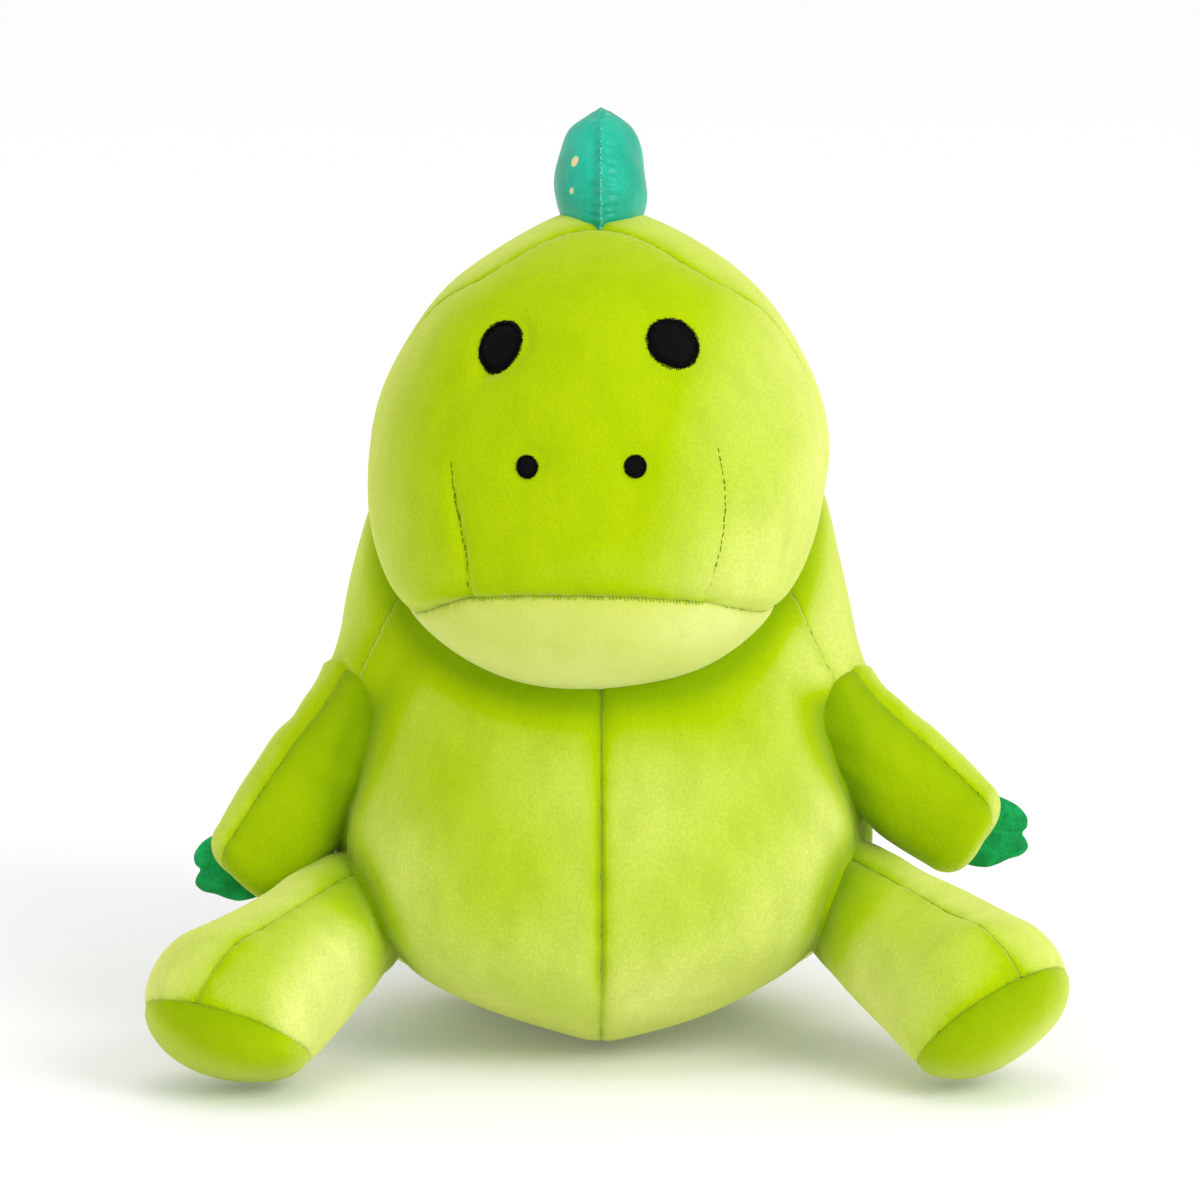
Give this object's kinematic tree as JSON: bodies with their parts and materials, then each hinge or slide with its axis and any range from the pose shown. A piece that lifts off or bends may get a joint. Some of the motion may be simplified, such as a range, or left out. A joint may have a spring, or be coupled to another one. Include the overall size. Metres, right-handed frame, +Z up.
{
  "type": "stuffed dinosaur",
  "caption": "Seated plush dinosaur with a round head, stitched face, stuffed arms and legs, felt claws, short tail and a row of satin back spikes.",
  "frame": {"origin": "bottom centre of the bounding box, on the surface the toy sits on", "axes": "+Z up, the toy faces -Y, +X to the right as seen from the front; left and right in node names are as seen from the front"},
  "size_m": [0.2945, 0.2295, 0.3017],
  "materials": {
    "velour": "short-nap lime green velour with a soft sheen",
    "spike_satin": "shiny teal satin with small gold dots",
    "claw_felt": "matt dark green felt",
    "stitched_thread": "black embroidery thread, satin stitch",
    "stuffing": "white polyester fibre",
    "pouch_cloth": "plain woven cotton",
    "pellets": "loose plastic pellets in bulk"
  },
  "bodies": {
    "torso": {"belly_left": "velour", "belly_right": "velour", "back_left": "velour", "back_right": "velour", "torso_filling": "stuffing", "pouch_top": "pouch_cloth", "pouch_bottom": "pouch_cloth", "pellets": "pellets", "spike_3_left": "spike_satin", "spike_3_right": "spike_satin", "spike_3_filling": "stuffing", "spike_4_left": "spike_satin", "spike_4_right": "spike_satin", "spike_4_filling": "stuffing", "spike_5_left": "spike_satin", "spike_5_right": "spike_satin", "spike_5_filling": "stuffing"},
    "head": {"face_panel": "velour", "chin_panel": "velour", "head_back_left": "velour", "head_back_right": "velour", "head_filling": "stuffing", "eye_left": "stitched_thread", "eye_right": "stitched_thread", "nostril_left": "stitched_thread", "nostril_right": "stitched_thread", "spike_1_left": "spike_satin", "spike_1_right": "spike_satin", "spike_1_filling": "stuffing", "spike_2_left": "spike_satin", "spike_2_right": "spike_satin", "spike_2_filling": "stuffing"},
    "tail": {"tail_left": "velour", "tail_right": "velour", "tail_filling": "stuffing", "spike_6_left": "spike_satin", "spike_6_right": "spike_satin", "spike_6_filling": "stuffing"},
    "left_arm": {"left_arm_front": "velour", "left_arm_back": "velour", "left_arm_filling": "stuffing", "left_claws": "claw_felt"},
    "left_leg": {"left_leg_inner": "velour", "left_leg_outer": "velour", "left_leg_sole": "velour", "left_leg_filling": "stuffing"},
    "right_arm": {"right_arm_front": "velour", "right_arm_back": "velour", "right_arm_filling": "stuffing", "right_claws": "claw_felt"},
    "right_leg": {"right_leg_inner": "velour", "right_leg_outer": "velour", "right_leg_sole": "velour", "right_leg_filling": "stuffing"}
  },
  "joints": [
    {"name": "head_nod", "type": "hinge", "parent": "torso", "child": "head", "pos_m": [0, -0.028, 0.196], "axis": [-0.9962, 0.0872, 0], "range_deg": [0, 15], "stiffness_Nm_per_rad": 0.6},
    {"name": "left_arm_raise", "type": "hinge", "parent": "torso", "child": "left_arm", "pos_m": [-0.075, -0.022, 0.108], "axis": [-0.2631, 0.9648, 0], "range_deg": [0, 45], "stiffness_Nm_per_rad": 0.08},
    {"name": "right_arm_raise", "type": "hinge", "parent": "torso", "child": "right_arm", "pos_m": [0.075, -0.022, 0.108], "axis": [-0.2976, -0.9547, 0], "range_deg": [0, 45], "stiffness_Nm_per_rad": 0.08},
    {"name": "left_leg_spread", "type": "hinge", "parent": "torso", "child": "left_leg", "pos_m": [-0.072, -0.028, 0.0335], "axis": [0, 0, -1], "range_deg": [-10, 3], "stiffness_Nm_per_rad": 0.2},
    {"name": "right_leg_spread", "type": "hinge", "parent": "torso", "child": "right_leg", "pos_m": [0.072, -0.028, 0.0335], "axis": [0, 0, 1], "range_deg": [-10, 15], "stiffness_Nm_per_rad": 0.2},
    {"name": "tail_wag", "type": "hinge", "parent": "torso", "child": "tail", "pos_m": [0, 0.062, 0.031], "axis": [0, 0, 1], "range_deg": [-20, 20], "stiffness_Nm_per_rad": 0.15}
  ]
}
